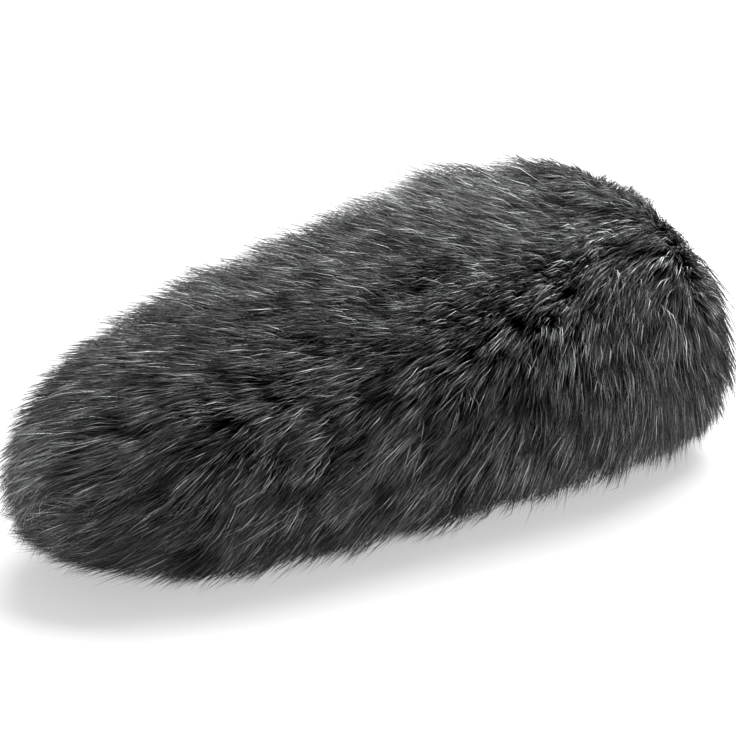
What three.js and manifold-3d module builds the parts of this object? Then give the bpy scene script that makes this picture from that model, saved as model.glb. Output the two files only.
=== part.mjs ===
// Furry windscreen for a short shotgun microphone, lying on a table.
// Millimetres, +Z up. X runs from the narrow nose (-X) to the wide rear (+X), and Y is the symmetry direction.
// Two assemblies: the sewn fur cover, and the foam core with the microphone bore that the cover slips over.
import * as THREE from 'three';
import { mergeVertices } from 'three/addons/utils/BufferGeometryUtils.js';
import Module from 'manifold-3d';

const wasm = await Module();
wasm.setup();

// Fur envelope: the surface through the tips of the pile.
const ENVELOPE_LENGTH = 225;
const NOSE_HALF_WIDTH = 37.4;
const REAR_HALF_WIDTH = 55.4;
const HEIGHT_RATIO = 0.82;
const ENVELOPE_EXPONENT = 2.6;
const NOSE_CAP = { share: 0.39, exponent: 2.4 };
const REAR_CAP = { share: 0.34, exponent: 2.5 };
const FLATTENED_SHARE = 0.085; // of the half height, pressed flat by the table
const REAR_LEAN = 40; // how far the rear of the envelope leans forward over its full height
const LEAN_PIVOT = 0.3; // share of the height that stays in place as the rear leans

// Cavity: the inner face of the fur panels, a straight taper that widens to the mouth.
const CAVITY_EXPONENT = 2.4;
const CAVITY_TIP_X = -95;
const CAVITY_CAP_END_X = -52;
const CAVITY_BOTTOM = 9;
const CAVITY_FRONT = { x: -49, halfWidth: 27, top: 50 };
const CAVITY_MOUTH = { x: 85, halfWidth: 35, top: 62 };
const REAR_LIMIT_X = 130;

// Panels and seams.
const SEAM_Z = 33;
const NOSE_SEAM_X = -78;
const REAR_SEAM_X = 68;
const GAP = 0.3;
const TAPE_WIDTH = 8;
const TAPE = { outer: 0.3, inner: 1.1 }; // depths below the cavity surface
const LINING = { outer: 1.4, inner: 2.4 };
const LINING_END_X = 76.5;
const CORE_DEPTH = 2.9;

// Hem with its elastic.
const HEM = { start: 77, end: 85, outer: -3, inner: 2.4, wall: 1.2 };
const ELASTIC_CLEARANCE = 0.4;

// Foam core and its fittings.
const BORE_Z = 31;
const BORE_RADIUS = 10.5;
const LINER_WALL = 0.8;
const FOAM_BORE_RADIUS = BORE_RADIUS + LINER_WALL + GAP;
const BORE_FRONT_X = -49;
const END_STOP_THICKNESS = 3;
const PLATE = { start: 80, end: 83, hole: 13.8 };
const COLLAR = { start: 66, end: 97, sleeve: 13.5, neck: 15, wallClearance: 1 };
const FLANGE = { radius: 18, thickness: 2.4, chamfer: 0.8 };
const BEAD = { radius: 16.4, chamfer: 1, width: 3, slope: 1.5 };
const LIP = { count: 3, radius: 9.6, tipHalf: 0.4, rootHalf: 1.6 };
const LABEL = { length: 11, width: 16, thickness: 0.6, drop: 0.6 };

const RING_SIDES = 40;
const CORE_SIDES = 36;
const ROUND_SIDES = 32;
const ENVELOPE_CAP_STEPS = 7;
const ENVELOPE_BODY_STEPS = 4;
const CAVITY_CAP_STEPS = 6;
const BIG = 400; // well past the object on every side
const OVERCUT = 1; // how far a cutting solid runs past the face it cuts

const COLOURS = {
  fur: { color: 0x42464a, roughness: 0.9, metalness: 0 },
  lining: { color: 0x1c1d1f, roughness: 0.95, metalness: 0 },
  tape: { color: 0x26272a, roughness: 0.85, metalness: 0 },
  elastic: { color: 0x141414, roughness: 0.8, metalness: 0 },
  label: { color: 0x8d8f92, roughness: 0.8, metalness: 0 },
  foam: { color: 0x2b2c2e, roughness: 1, metalness: 0 },
  rubber: { color: 0x111213, roughness: 0.6, metalness: 0 },
};

// The width and height of a section's point at angle t, on a superellipse of half sizes 1.
function superellipse(t, exponent) {
  const power = 2 / exponent;
  const c = Math.cos(t);
  const s = Math.sin(t);
  return [Math.sign(c) * Math.abs(c) ** power, Math.sign(s) * Math.abs(s) ** power];
}

function roundOff(distanceShare, exponent) {
  return (1 - Math.min(1, Math.max(0, distanceShare)) ** exponent) ** (1 / exponent);
}

// Stations close up towards a rounded tip, where the section changes fastest.
function capEase(share) {
  return 1 - Math.cos((Math.PI / 2) * share);
}

// One closed loft through rings of equal length, with a point at each end.
function loft(rings, firstPoint, lastPoint) {
  const sides = rings[0].length;
  const points = [...rings.flat(), firstPoint, lastPoint];
  const first = points.length - 2;
  const last = points.length - 1;
  const index = [];
  for (let k = 0; k < rings.length; k++) {
    for (let j = 0; j < sides; j++) {
      const a = k * sides + j;
      const b = k * sides + ((j + 1) % sides);
      if (k === 0) index.push(first, b, a);
      if (k < rings.length - 1) index.push(a, b, a + sides, b, b + sides, a + sides);
      else index.push(last, a, b);
    }
  }
  const geometry = new THREE.BufferGeometry();
  geometry.setAttribute('position', new THREE.Float32BufferAttribute(points.flat(), 3));
  geometry.setIndex(index);
  return geometry;
}

function solid(geometry) {
  const bare = geometry.clone();
  bare.deleteAttribute('normal');
  bare.deleteAttribute('uv');
  const merged = mergeVertices(bare);
  return new wasm.Manifold(new wasm.Mesh({
    numProp: 3,
    vertProperties: new Float32Array(merged.attributes.position.array),
    triVerts: new Uint32Array(merged.index.array),
  }));
}

function geometryOf(manifold) {
  const mesh = manifold.getMesh();
  const geometry = new THREE.BufferGeometry();
  geometry.setAttribute('position', new THREE.Float32BufferAttribute(mesh.vertProperties, 3));
  geometry.setIndex(new THREE.Uint32BufferAttribute(mesh.triVerts, 1));
  geometry.computeVertexNormals();
  return geometry;
}

function block(min, max) {
  const size = max.map((value, i) => value - min[i]);
  const geometry = new THREE.BoxGeometry(...size);
  geometry.translate(...min.map((value, i) => value + size[i] / 2));
  return solid(geometry);
}

const slab = (start, end) => block([start, -BIG, -BIG], [end, BIG, BIG]);
const above = (z) => block([-BIG, -BIG, z], [BIG, BIG, BIG]);
const below = (z) => block([-BIG, -BIG, -BIG], [BIG, BIG, z]);

// A turned piece on the bore's axis. Its profile of [x, radius] points runs rearward along the inside,
// and comes back along the outside.
function turned(profile) {
  const outline = profile.map(([x, radius]) => new THREE.Vector2(radius, x)).reverse();
  const geometry = new THREE.LatheGeometry(outline, ROUND_SIDES);
  geometry.rotateZ(-Math.PI / 2);
  geometry.translate(0, 0, BORE_Z);
  return solid(geometry);
}

const rod = (start, end, radius) => turned([[end, 0], [end, radius], [start, radius], [start, 0]]);

function tube(start, end, innerRadius, outerRadius) {
  const corner = [start, innerRadius];
  return turned([corner, [end, innerRadius], [end, outerRadius], [start, outerRadius], corner]);
}

// Fur envelope.
function envelopeHalfWidth(u) {
  return NOSE_HALF_WIDTH + (REAR_HALF_WIDTH - NOSE_HALF_WIDTH) * u;
}

function envelopePoint(u, shrink, unitY, unitZ) {
  const width = envelopeHalfWidth(u);
  const height = width * HEIGHT_RATIO;
  const z = height * (1 - FLATTENED_SHARE) + height * shrink * unitZ;
  const tallest = 2 * REAR_HALF_WIDTH * HEIGHT_RATIO;
  const rearness = Math.max(0, 2 * u - 1);
  const lean = REAR_LEAN * rearness * (z / tallest - LEAN_PIVOT);
  return [ENVELOPE_LENGTH * (u - 0.5) - lean, width * shrink * unitY, z];
}

function envelopeStations() {
  const stations = [];
  for (let i = 1; i <= ENVELOPE_CAP_STEPS; i++) {
    stations.push(NOSE_CAP.share * capEase(i / ENVELOPE_CAP_STEPS));
  }
  for (let i = 1; i < ENVELOPE_BODY_STEPS; i++) {
    stations.push(NOSE_CAP.share + (1 - REAR_CAP.share - NOSE_CAP.share) * (i / ENVELOPE_BODY_STEPS));
  }
  for (let i = ENVELOPE_CAP_STEPS; i >= 1; i--) {
    stations.push(1 - REAR_CAP.share * capEase(i / ENVELOPE_CAP_STEPS));
  }
  return stations;
}

function envelope() {
  const rings = envelopeStations().map((u) => {
    const nose = roundOff(1 - u / NOSE_CAP.share, NOSE_CAP.exponent);
    const rear = roundOff(1 - (1 - u) / REAR_CAP.share, REAR_CAP.exponent);
    return Array.from({ length: RING_SIDES }, (_, j) => {
      const [y, z] = superellipse((2 * Math.PI * j) / RING_SIDES, ENVELOPE_EXPONENT);
      return envelopePoint(u, nose * rear, y, z);
    });
  });
  return solid(loft(rings, envelopePoint(0, 0, 0, 0), envelopePoint(1, 0, 0, 0))).subtract(below(0));
}

// Cavity section at x, at a depth inside the cavity surface.
function cavitySection(x, depth) {
  const along = Math.min(1, (x - CAVITY_FRONT.x) / (CAVITY_MOUTH.x - CAVITY_FRONT.x));
  const halfWidth = THREE.MathUtils.lerp(CAVITY_FRONT.halfWidth, CAVITY_MOUTH.halfWidth, along) - depth;
  const top = THREE.MathUtils.lerp(CAVITY_FRONT.top, CAVITY_MOUTH.top, along) - depth;
  const bottom = CAVITY_BOTTOM + depth;
  const tip = CAVITY_TIP_X + depth;
  const shrink = roundOff((CAVITY_CAP_END_X - x) / (CAVITY_CAP_END_X - tip), CAVITY_EXPONENT);
  return {
    halfWidth: halfWidth * shrink,
    halfHeight: ((top - bottom) / 2) * shrink,
    centre: (top + bottom) / 2,
  };
}

// The solid inside the cavity surface at a depth, between two stations. Where start is left out, it begins
// in the rounded nose.
function cavityFill(depth, end, start = null) {
  const tip = CAVITY_TIP_X + depth;
  const stations = [];
  if (start === null) {
    for (let i = 1; i <= CAVITY_CAP_STEPS; i++) {
      stations.push(tip + (CAVITY_CAP_END_X - tip) * capEase(i / CAVITY_CAP_STEPS));
    }
  } else {
    stations.push(start);
  }
  if (end > CAVITY_MOUTH.x) stations.push(CAVITY_MOUTH.x);
  stations.push(end);
  const rings = stations.filter((x, i) => i === 0 || x > stations[i - 1]).map((x) => {
    const { halfWidth, halfHeight, centre } = cavitySection(x, depth);
    return Array.from({ length: CORE_SIDES }, (_, j) => {
      const [y, z] = superellipse((2 * Math.PI * j) / CORE_SIDES, CAVITY_EXPONENT);
      return [x, halfWidth * y, centre + halfHeight * z];
    });
  });
  const firstX = start === null ? tip : start;
  return solid(loft(
    rings,
    [firstX, 0, cavitySection(firstX, depth).centre],
    [end, 0, cavitySection(end, depth).centre],
  ));
}

// A skin between two depths, from the nose to a station, and a ring of it between two stations.
const skin = (outer, inner, end) => cavityFill(outer, end).subtract(cavityFill(inner, end + OVERCUT));
const ring = (outer, inner, start, end) => (
  cavityFill(outer, end, start).subtract(cavityFill(inner, end + OVERCUT, start - OVERCUT))
);

// Upper, lower and nose panels of a skin: the sewing pattern that fur and lining share.
function panels(whole) {
  const body = whole.subtract(slab(-BIG, NOSE_SEAM_X + GAP / 2));
  return {
    upper: body.subtract(below(SEAM_Z + GAP / 2)),
    lower: body.subtract(above(SEAM_Z - GAP / 2)),
    nose: whole.subtract(slab(NOSE_SEAM_X - GAP / 2, BIG)),
  };
}

function furPieces() {
  const pile = envelope().subtract(cavityFill(0, REAR_LIMIT_X));
  const front = panels(pile.subtract(slab(REAR_SEAM_X - GAP / 2, BIG)));
  const hemRecess = cavityFill(HEM.outer - GAP, HEM.end + GAP, HEM.start - GAP);
  const rear = pile.subtract(slab(-BIG, REAR_SEAM_X + GAP / 2)).subtract(hemRecess);
  return {
    fur_upper_panel: front.upper,
    fur_lower_panel: front.lower,
    fur_nose_cap: front.nose,
    fur_rear_panel: rear,
  };
}

function liningPieces() {
  const lining = panels(skin(LINING.outer, LINING.inner, LINING_END_X));
  return {
    lining_upper_panel: lining.upper,
    lining_lower_panel: lining.lower,
    lining_nose_cap: lining.nose,
  };
}

function seamTapes() {
  const half = TAPE_WIDTH / 2;
  const layer = skin(TAPE.outer, TAPE.inner, REAR_SEAM_X + half);
  const sides = layer
    .intersect(slab(NOSE_SEAM_X + half + GAP, REAR_SEAM_X - half - GAP))
    .intersect(below(SEAM_Z + half))
    .intersect(above(SEAM_Z - half));
  return {
    seam_tape_left: sides.intersect(block([-BIG, 0, -BIG], [BIG, BIG, BIG])),
    seam_tape_right: sides.intersect(block([-BIG, -BIG, -BIG], [BIG, 0, BIG])),
    seam_tape_nose: layer.intersect(slab(NOSE_SEAM_X - half, NOSE_SEAM_X + half)),
    seam_tape_rear: layer.intersect(slab(REAR_SEAM_X - half, REAR_SEAM_X + half)),
  };
}

// The hem channel is open on its outer side, under the pile, and the elastic lies in it.
function hemPieces() {
  const { start, end, outer, inner, wall } = HEM;
  const tunnel = ring(outer - OVERCUT, inner - wall, start + wall, end - wall);
  const clear = wall + ELASTIC_CLEARANCE;
  return {
    hem_channel: ring(outer, inner, start, end).subtract(tunnel),
    elastic_ring: ring(outer + clear, inner - clear, start + clear, end - clear),
  };
}

function labelPiece() {
  const start = HEM.end + GAP;
  const bottom = CAVITY_BOTTOM + LABEL.drop;
  return block(
    [start, -LABEL.width / 2, bottom],
    [start + LABEL.length, LABEL.width / 2, bottom + LABEL.thickness],
  );
}

function corePieces() {
  const foamEnd = PLATE.start - GAP;
  const foamStart = BORE_FRONT_X - END_STOP_THICKNESS - GAP;
  const whole = cavityFill(CORE_DEPTH, foamEnd);
  const bore = rod(foamStart - OVERCUT, foamEnd + OVERCUT, FOAM_BORE_RADIUS);
  const collarSeat = rod(COLLAR.start - GAP, foamEnd + OVERCUT, COLLAR.sleeve + GAP);
  const plate = cavityFill(CORE_DEPTH, PLATE.end, PLATE.start);
  const linerRadius = BORE_RADIUS + LINER_WALL;
  return {
    foam_body: whole.subtract(slab(-BIG, foamStart)).subtract(bore).subtract(collarSeat),
    foam_nose_plug: whole.subtract(slab(foamStart - GAP, BIG)),
    bore_end_stop: rod(foamStart, BORE_FRONT_X, linerRadius),
    bore_liner: tube(BORE_FRONT_X + GAP, PLATE.end, BORE_RADIUS, linerRadius),
    rear_plate: plate.subtract(rod(PLATE.start - OVERCUT, PLATE.end + OVERCUT, PLATE.hole)),
    entry_collar: entryCollar(),
  };
}

// The grip lips inside the collar's neck, from the flange to the collar's end.
function gripLips(start, end, neckBore) {
  const pitch = (end - start) / LIP.count;
  const lips = [];
  for (let i = 0; i < LIP.count; i++) {
    const x = start + pitch * (i + 0.5);
    lips.push([x - LIP.rootHalf, neckBore], [x - LIP.tipHalf, LIP.radius]);
    lips.push([x + LIP.tipHalf, LIP.radius], [x + LIP.rootHalf, neckBore]);
  }
  return lips;
}

// Rubber collar: a sleeve over the liner, a flange behind the rear plate, and a neck with inner grip lips.
function entryCollar() {
  const { start, end, sleeve, neck } = COLLAR;
  const sleeveBore = FOAM_BORE_RADIUS;
  const neckBore = BORE_RADIUS + COLLAR.wallClearance;
  const shoulder = PLATE.end + GAP;
  const flangeEnd = shoulder + FLANGE.thickness;
  const outside = [
    [end, BEAD.radius - BEAD.chamfer],
    [end - BEAD.chamfer, BEAD.radius],
    [end - BEAD.width, BEAD.radius],
    [end - BEAD.width - BEAD.slope, neck],
    [flangeEnd, neck],
    [flangeEnd, FLANGE.radius - FLANGE.chamfer],
    [flangeEnd - FLANGE.chamfer, FLANGE.radius],
    [shoulder, FLANGE.radius],
    [shoulder, sleeve],
    [start, sleeve],
  ];
  const corner = [start, sleeveBore];
  return turned([corner, ...gripLips(flangeEnd, end, neckBore), [end, neckBore], ...outside, corner]);
}

const pieces = [
  [furPieces(), 'fur'],
  [liningPieces(), 'lining'],
  [seamTapes(), 'tape'],
  [hemPieces(), 'elastic'],
  [{ woven_label: labelPiece() }, 'label'],
  [corePieces(), 'foam'],
];
const RUBBER_PIECES = ['rear_plate', 'entry_collar'];

const group = new THREE.Group();
for (const [named, finish] of pieces) {
  for (const [name, manifold] of Object.entries(named)) {
    const look = COLOURS[RUBBER_PIECES.includes(name) ? 'rubber' : finish];
    const mesh = new THREE.Mesh(geometryOf(manifold), new THREE.MeshStandardMaterial(look));
    mesh.name = name;
    group.add(mesh);
  }
}
const extent = new THREE.Box3().setFromObject(group);
group.position.x = -(extent.min.x + extent.max.x) / 2;

export default group;
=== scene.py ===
"""A furry windscreen for a shotgun microphone, lying on its side: pile, sewn cover, foam core and collar."""
import math

import bpy
import numpy as np
from mathutils import Matrix, Vector


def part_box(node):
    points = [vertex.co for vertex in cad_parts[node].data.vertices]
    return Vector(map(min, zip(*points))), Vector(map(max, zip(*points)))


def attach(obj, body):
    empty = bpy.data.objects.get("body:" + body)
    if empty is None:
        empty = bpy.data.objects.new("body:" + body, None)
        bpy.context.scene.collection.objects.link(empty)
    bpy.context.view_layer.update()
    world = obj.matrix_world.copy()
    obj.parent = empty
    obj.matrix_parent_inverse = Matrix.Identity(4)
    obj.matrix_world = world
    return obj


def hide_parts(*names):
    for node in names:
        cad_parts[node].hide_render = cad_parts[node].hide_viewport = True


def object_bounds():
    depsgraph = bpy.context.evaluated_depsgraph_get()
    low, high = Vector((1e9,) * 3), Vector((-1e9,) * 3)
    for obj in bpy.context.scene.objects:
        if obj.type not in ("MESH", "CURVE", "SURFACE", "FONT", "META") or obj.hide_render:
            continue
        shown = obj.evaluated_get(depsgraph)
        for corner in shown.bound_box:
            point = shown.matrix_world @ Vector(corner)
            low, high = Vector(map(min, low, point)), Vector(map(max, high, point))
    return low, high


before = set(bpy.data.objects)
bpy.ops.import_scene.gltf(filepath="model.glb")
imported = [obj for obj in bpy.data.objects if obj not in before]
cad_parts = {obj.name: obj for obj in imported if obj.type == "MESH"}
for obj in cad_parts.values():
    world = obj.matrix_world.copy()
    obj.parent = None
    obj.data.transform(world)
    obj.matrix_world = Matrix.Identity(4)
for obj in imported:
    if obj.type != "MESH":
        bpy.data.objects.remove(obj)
CAD_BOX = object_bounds()
MM = 0.001

# ---- The frame's own sizes, in metres.

CORE_DEPTH = 2.9 * MM  # from the inner face of the fur's backing to the foam
PLUG_LOW, PLUG_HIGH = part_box("foam_nose_plug")
PLATE_LOW, PLATE_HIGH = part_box("rear_plate")
HEM_LOW, HEM_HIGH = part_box("hem_channel")
LINING_END_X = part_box("lining_upper_panel")[1].x
COLLAR_LOW, COLLAR_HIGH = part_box("entry_collar")
STOP_LOW, STOP_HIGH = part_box("bore_end_stop")
LINER_LOW, LINER_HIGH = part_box("bore_liner")
LABEL_LOW, LABEL_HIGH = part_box("woven_label")
NOSE_SEAM_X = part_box("fur_nose_cap")[1].x
REAR_SEAM_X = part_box("fur_rear_panel")[0].x
SEAM_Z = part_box("fur_upper_panel")[0].z
BORE_Z = (COLLAR_LOW.z + COLLAR_HIGH.z) / 2

CAVITY_EXPONENT = 2.4
CAVITY_TIP_X = PLUG_LOW.x - CORE_DEPTH
CAVITY_BOTTOM_Z = PLATE_LOW.z - CORE_DEPTH

ENVELOPE_LENGTH = 225 * MM
ENVELOPE_START_X = CAD_BOX[0].x
ENVELOPE_EXPONENT = 2.6
NOSE_HALF_WIDTH = 37.4 * MM
REAR_HALF_WIDTH = 55.4 * MM
HEIGHT_RATIO = 0.82
FLATTENED_SHARE = 0.085
NOSE_CAP = (0.39, 2.4)  # the share of the length that the rounded end takes, and its exponent
REAR_CAP = (0.34, 2.5)
REAR_LEAN = 40 * MM
LEAN_PIVOT = 0.3


def round_off(share, exponent):
    return (1 - np.clip(share, 0, 1) ** exponent) ** (1 / exponent)


def superellipse(turn, exponent):
    power = 2 / exponent
    c, s = np.cos(turn), np.sin(turn)
    return np.sign(c) * np.abs(c) ** power, np.sign(s) * np.abs(s) ** power


def cavity_section(x, depth):
    """Half width, half height and centre height of the cover's cavity at x, at a depth inside its surface."""
    along = (np.minimum(x, HEM_HIGH.x) - PLUG_HIGH.x) / (PLATE_HIGH.x - PLUG_HIGH.x)
    half_width = PLUG_HIGH.y + CORE_DEPTH + (PLATE_HIGH.y - PLUG_HIGH.y) * along - depth
    top = PLUG_HIGH.z + CORE_DEPTH + (PLATE_HIGH.z - PLUG_HIGH.z) * along - depth
    bottom = CAVITY_BOTTOM_Z + depth
    tip = CAVITY_TIP_X + depth
    shrink = round_off((PLUG_HIGH.x - x) / (PLUG_HIGH.x - tip), CAVITY_EXPONENT)
    return half_width * shrink, (top - bottom) / 2 * shrink, (top + bottom) / 2


def cavity_grid(x, depth, turn):
    """Points on the cavity surface: a row for each (x, depth), a column for each turn or column of turns."""
    half_width, half_height, centre = (v[:, None] for v in cavity_section(x, depth))
    unit_y, unit_z = superellipse(turn, CAVITY_EXPONENT)
    rows = x[:, None] + 0 * turn
    return np.stack([rows, half_width * unit_y, centre + half_height * unit_z], -1)


def cap_stations(tip, end, count):
    """Stations from a rounded tip to where it has its full section."""
    return tip + (end - tip) * (1 - np.cos(np.linspace(0.02, 1, count) * math.pi / 2))


def inside_envelope(points):
    """True where a point lies inside the surface through the tips of the pile."""
    x = points[:, 0] - ENVELOPE_START_X
    y, z = points[:, 1], points[:, 2]
    lean = z / (2 * REAR_HALF_WIDTH * HEIGHT_RATIO) - LEAN_PIVOT
    share = x / ENVELOPE_LENGTH
    leaning = (x - REAR_LEAN * lean) / (ENVELOPE_LENGTH - 2 * REAR_LEAN * lean)
    share = np.where(share > 0.5, leaning, share)
    width = NOSE_HALF_WIDTH + (REAR_HALF_WIDTH - NOSE_HALF_WIDTH) * share
    height = width * HEIGHT_RATIO
    shrink = round_off(1 - share / NOSE_CAP[0], NOSE_CAP[1])
    shrink = np.maximum(shrink * round_off(1 - (1 - share) / REAR_CAP[0], REAR_CAP[1]), 1e-4)
    across = np.abs(y) / (width * shrink)
    up = np.abs(z - height * (1 - FLATTENED_SHARE)) / (height * shrink)
    within = across**ENVELOPE_EXPONENT + up**ENVELOPE_EXPONENT < 1
    return within & (share > 0) & (share < 1) & (z > 0)


# ---- Meshes.


def unit(v):
    return v / np.maximum(np.linalg.norm(v, axis=-1, keepdims=True), 1e-12)


def step_lengths(points, axis=0):
    """The lengths of the steps between neighbouring points along an axis of a line or grid."""
    return np.linalg.norm(np.diff(points, axis=axis), axis=-1)


def running(steps):
    """The distance to each point of a line, from the lengths of its steps."""
    return np.concatenate([[0], np.cumsum(steps)])


def sampled(at, length, points):
    """Points at given lengths along a line."""
    return np.stack([np.interp(at, length, points[:, k]) for k in range(points.shape[1])], -1)


def even_turns(count):
    return np.linspace(0, 2 * math.pi, count, endpoint=False)


def looped(points, axis=0):
    """A loop's points, with the first again at the end."""
    return np.concatenate([points, points.take([0], axis)], axis)


def in_scene(name, data):
    made = bpy.data.objects.new(name, data)
    bpy.context.scene.collection.objects.link(made)
    return made


def linked(name, mesh, material):
    """An object in the scene for a smooth mesh, with its material."""
    mesh.polygons.foreach_set("use_smooth", np.ones(len(mesh.polygons), bool))
    mesh.materials.append(material)
    return in_scene(name, mesh)


def mesh_object(name, points, faces, material):
    mesh = bpy.data.meshes.new(name)
    mesh.from_pydata([tuple(p) for p in points], [], [tuple(int(i) for i in f) for f in faces])
    mesh.update()
    return linked(name, mesh, material)


def on_body(piece, body, slot, *nodes):
    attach(piece, body)
    if nodes:
        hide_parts(*nodes)
    return piece


# ---- Fur. Hairs grow in tufts; a hair is a closed three-sided spike of three rings and a tip.

SEED = 7
ROOT_LIFT = 1.5 * MM
TUFT_SPACING = 1.9 * MM
HAIRS_IN_A_TUFT = 20
RING_STEPS = np.array([0.0, 0.38, 0.74])
POINTS_IN_A_HAIR = 10
HAIRS_IN_A_PIECE = 12300

# How the pile is combed, by its roots' place along X: towards the nose on the sides and on top, and down.
COMB_X = np.array([-120, -40, -10, 20, 45, 60, 72, 87, 90, 95]) * MM
SIDE_SWEEP = np.array([1.0, 1.0, 1.0, 0.95, 0.7, 0.45, 0.3, 0.2, -0.3, -0.6])
TOP_SWEEP = np.array([1.0, 1.0, 1.0, 1.0, 1.0, 0.95, 0.9, 0.8, 0.0, -0.4])
DROP = np.array([0.3, 0.36, 0.45, 0.58, 0.8, 1.0, 1.0, 1.0, 1.0, 1.0])
PARTING_X = 88 * MM
PILE_LENGTH = 26 * MM
LOCK_WAVE = 11 * MM  # neighbouring tufts lean together over about this width
LOCK_PULL = 0.1
HAIR_SHIFT = 0.06  # how far tips wander, as a share of the hair's length
STRAY_SHIFT = 0.3
STRAY_SHARE = 0.004
OVERSHOOT = 4.5 * MM


def smooth_step(value, low, high):
    share = np.clip((value - low) / (high - low), 0, 1)
    return share * share * (3 - 2 * share)


def backing_profile():
    """Stations and depths of the fur's root surface, from the nose to the rolled edge of the mouth."""
    tip = CAVITY_TIP_X - ROOT_LIFT
    nose = cap_stations(tip, PLUG_HIGH.x, 26)
    body = np.linspace(PLUG_HIGH.x, HEM_LOW.x - 2 * MM, 50)[1:]
    x = np.concatenate([nose, body])
    depth = np.full(len(x), -ROOT_LIFT)
    edge = HEM_HIGH.x
    rim = np.array([(HEM_LOW.x, -4.2 * MM), (edge - 1.5 * MM, -4.6 * MM), (edge + 0.6 * MM, -4.0 * MM),
                    (edge + 1.3 * MM, -2.4 * MM), (edge + 1.4 * MM, -0.6 * MM)])
    return np.concatenate([x, rim[:, 0]]), np.concatenate([depth, rim[:, 1]])


def root_grid():
    x, depth = backing_profile()
    turn = np.linspace(0, 2 * math.pi, 181)
    return cavity_grid(x, depth, turn)


def grid_normals(grid):
    """The outward normal of each cell of a grid of points, as long as the cell's area."""
    along = grid[1:, :-1] - grid[:-1, :-1]
    across = grid[:-1, 1:] - grid[:-1, :-1]
    return np.cross(across, along)


def scatter(grid, spacing):
    """Points spread over a grid of points by a low-discrepancy sequence, and their outward normals. They are
    closer than the spacing where the pile fans out: at the nose, and most of all round the mouth."""
    normal = grid_normals(grid)
    x = grid[:-1, :-1, 0]
    fanning = 1 + 0.5 * smooth_step(-x, 60 * MM, 90 * MM) + 2.2 * smooth_step(x, 76 * MM, 88 * MM)
    area = np.linalg.norm(normal, axis=-1) * fanning
    count = int(area.sum() / spacing**2)
    first = (0.5 + np.arange(count) * 0.7548776662466927) % 1
    second = (0.5 + np.arange(count) * 0.5698402909980532) % 1
    rows = running(area.sum(1)) / area.sum()
    i = np.clip(np.searchsorted(rows, first, side="right") - 1, 0, len(area) - 1)
    s = ((first - rows[i]) / (rows[i + 1] - rows[i]))[:, None]
    columns = np.cumsum(area, axis=1) / area.sum(1, keepdims=True)
    j = (columns[i] < second[:, None]).sum(1)
    before = np.where(j > 0, columns[i, j - 1], 0)
    t = ((second - before) / (columns[i, j] - before))[:, None]
    points = (
        grid[i, j] * (1 - s) * (1 - t)
        + grid[i + 1, j] * s * (1 - t)
        + grid[i, j + 1] * (1 - s) * t
        + grid[i + 1, j + 1] * s * t
    )
    return points, unit(normal[i, j])


def swirl(points, wave, seed):
    """A smooth vector field of unit size or so, for locks that turn together."""
    rng = np.random.default_rng(seed)
    total = np.zeros_like(points)
    for _ in range(6):
        direction = rng.normal(size=3)
        direction *= 2 * math.pi / (wave * np.linalg.norm(direction)) * rng.uniform(0.7, 1.5)
        phase = rng.uniform(0, 2 * math.pi)
        total += np.sin(points @ direction + phase)[:, None] * rng.normal(size=3)
    return total / math.sqrt(6)


def combed(points, normals):
    """Unit vectors along the backing in the direction that the pile is combed."""
    x = points[:, 0] + 2.2 * MM * swirl(points, 15 * MM, 9)[:, 0]
    topness = smooth_step(normals[:, 2], 0.3, 0.8)
    side = np.interp(x, COMB_X, SIDE_SWEEP)
    top = np.interp(x, COMB_X, TOP_SWEEP)
    comb = 0.16 * swirl(points, 34 * MM, 3) + 0.16 * swirl(points, 13 * MM, 4)
    comb += 0.12 * swirl(points, 6 * MM, 5)
    comb[:, 0] -= side + (top - side) * topness
    comb[:, 2] -= np.interp(x, COMB_X, DROP)
    comb[:, 0] += 1.5 * smooth_step(-normals[:, 2], 0.45, 0.8) * smooth_step(x, 78 * MM, 86 * MM)
    comb -= normals * (comb * normals).sum(1, keepdims=True)
    return unit(comb)


def room_for(roots, ways):
    """How far each hair can reach along its way before it leaves the envelope."""
    low, high = np.zeros(len(roots)), np.full(len(roots), 40 * MM)
    for _ in range(12):
        middle = (low + high) / 2
        within = inside_envelope(roots + ways * middle[:, None])
        low, high = np.where(within, middle, low), np.where(within, high, middle)
    return low


def grow_tufts(rng):
    """For each tuft: root, backing's normal, combed direction, way to its tip and reach."""
    grid = root_grid()
    roots, normals = scatter(grid, TUFT_SPACING)
    tufts = len(roots)
    roots += rng.normal(scale=0.2 * TUFT_SPACING, size=roots.shape)
    flow = combed(roots, normals)
    rise = np.clip(room_for(roots, normals) / PILE_LENGTH, 0.3, 0.8)
    rise = np.maximum(rise, 0.85 * smooth_step(-normals[:, 0], 0.5, 1.0))
    parting = np.exp(-(((roots[:, 0] - PARTING_X) / (5 * MM)) ** 2)) * smooth_step(normals[:, 2], 0.2, 0.7)
    rise = np.maximum(rise, 0.85 * parting)[:, None]
    way = normals * rise + flow * np.sqrt(1 - rise**2)
    way = unit(way + rng.normal(scale=0.09, size=way.shape) + LOCK_PULL * swirl(roots, LOCK_WAVE, 8))
    reach = np.clip(room_for(roots, way) + OVERSHOOT, 7 * MM, 34 * MM)
    return roots, normals, flow, way, reach * rng.uniform(0.84, 1.06, tufts)


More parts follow.
